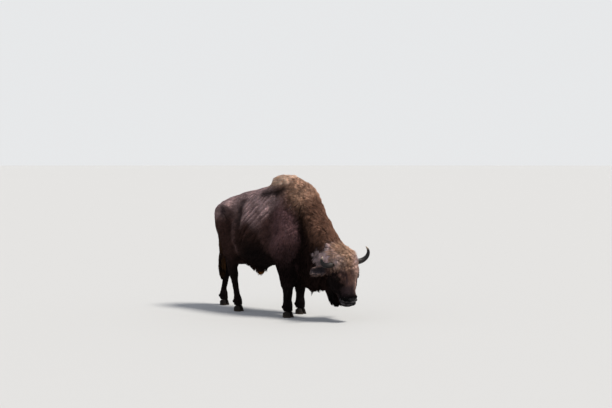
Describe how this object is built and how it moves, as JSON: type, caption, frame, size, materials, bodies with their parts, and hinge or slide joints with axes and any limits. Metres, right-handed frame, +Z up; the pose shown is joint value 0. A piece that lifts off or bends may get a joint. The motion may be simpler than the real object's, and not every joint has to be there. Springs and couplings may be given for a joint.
{
  "type": "european bison",
  "caption": "Life-size wisent bull grazing: head lowered and turned, shaggy coat with hump, mane and beard, horns, cloven hooves.",
  "frame": {"origin": "on the floor, under the middle of the bounding box", "axes": "+X the way the trunk faces, +Y the animal's left, +Z up"},
  "size_m": [2.3364, 0.6962, 1.623],
  "materials": {
    "coat": "dull brown autumn coat, paler on the back and hump",
    "mane": "longer dark brown hair of the neck, throat and tail",
    "horn": "smooth dark horn with a pale tip",
    "hoof": "worn dark horn",
    "eye": "wet and dark"
  },
  "bodies": {
    "root": {"ear_left": "coat", "ear_right": "coat", "eye_left": "eye", "eye_right": "eye", "foreleg_left_claw_inner": "hoof", "foreleg_left_claw_outer": "hoof", "foreleg_left_dewclaw_inner": "hoof", "foreleg_left_dewclaw_outer": "hoof", "foreleg_left_lower": "coat", "foreleg_left_upper": "coat", "foreleg_right_claw_inner": "hoof", "foreleg_right_claw_outer": "hoof", "foreleg_right_dewclaw_inner": "hoof", "foreleg_right_dewclaw_outer": "hoof", "foreleg_right_lower": "coat", "foreleg_right_upper": "coat", "head": "coat", "hind_leg_left_claw_inner": "hoof", "hind_leg_left_claw_outer": "hoof", "hind_leg_left_dewclaw_inner": "hoof", "hind_leg_left_dewclaw_outer": "hoof", "hind_leg_left_lower": "coat", "hind_leg_left_upper": "coat", "hind_leg_right_claw_inner": "hoof", "hind_leg_right_claw_outer": "hoof", "hind_leg_right_dewclaw_inner": "hoof", "hind_leg_right_dewclaw_outer": "hoof", "hind_leg_right_lower": "coat", "hind_leg_right_upper": "coat", "horn_left": "horn", "horn_right": "horn", "neck": "mane", "tail": "coat", "tail_tuft": "mane", "trunk": "coat"}
  },
  "joints": []
}
